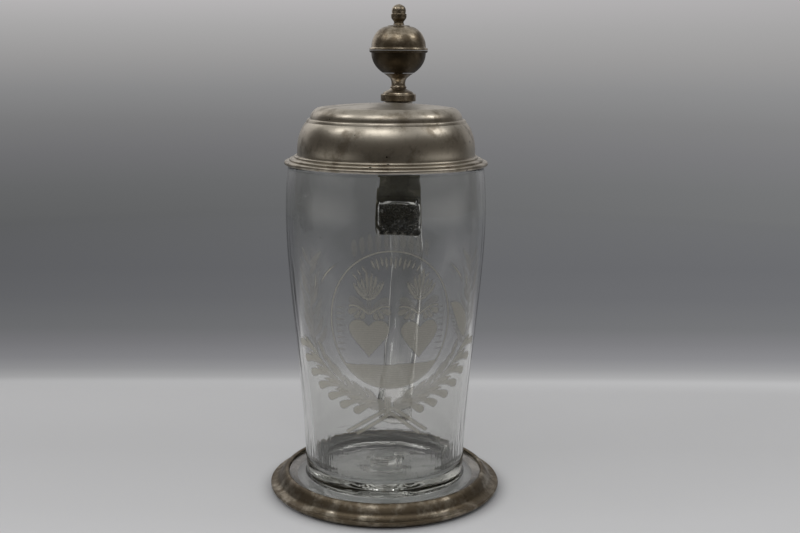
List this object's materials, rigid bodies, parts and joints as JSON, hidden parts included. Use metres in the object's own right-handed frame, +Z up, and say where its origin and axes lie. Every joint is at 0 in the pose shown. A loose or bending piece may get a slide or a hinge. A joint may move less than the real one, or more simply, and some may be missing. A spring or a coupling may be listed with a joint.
{
  "type": "lidded tankard",
  "caption": "Clear glass tankard with an engraved front, a glass strap handle, a pewter foot ring and a hinged domed pewter lid with a ball thumb-rest.",
  "frame": {"origin": "on the surface the tankard stands on, under the middle of its bounding box; the vessel's turning axis stands 20.9 mm in front of the origin, towards -Y", "axes": "+Z up, +Y towards the handle and the hinge, -Y towards the engraved front, X along the hinge pin"},
  "size_m": [0.1316, 0.1732, 0.2748],
  "materials": {
    "clear_glass": "polished, with the waves and small bubbles of blown glass",
    "lid_pewter": "satin pewter with a warm grey patina and small pits",
    "dark_pewter": "satin pewter with a darker brown patina",
    "iron": "dull"
  },
  "bodies": {
    "tankard": {"glass_body": "clear_glass", "glass_handle": "clear_glass", "foot_ring": "dark_pewter", "handle_mount": "dark_pewter", "hinge_pin": "iron"},
    "lid": {"lid": "lid_pewter", "lid_bracket": "dark_pewter", "thumb_stem": "dark_pewter", "ball_lower": "dark_pewter", "ball_upper": "dark_pewter", "acorn_knop": "dark_pewter"}
  },
  "joints": [
    {"name": "lid_hinge", "type": "hinge", "parent": "tankard", "child": "lid", "pos_m": [0, 0.04345, 0.1885], "axis": [-1, 0, 0], "range_deg": [0, 100]}
  ]
}
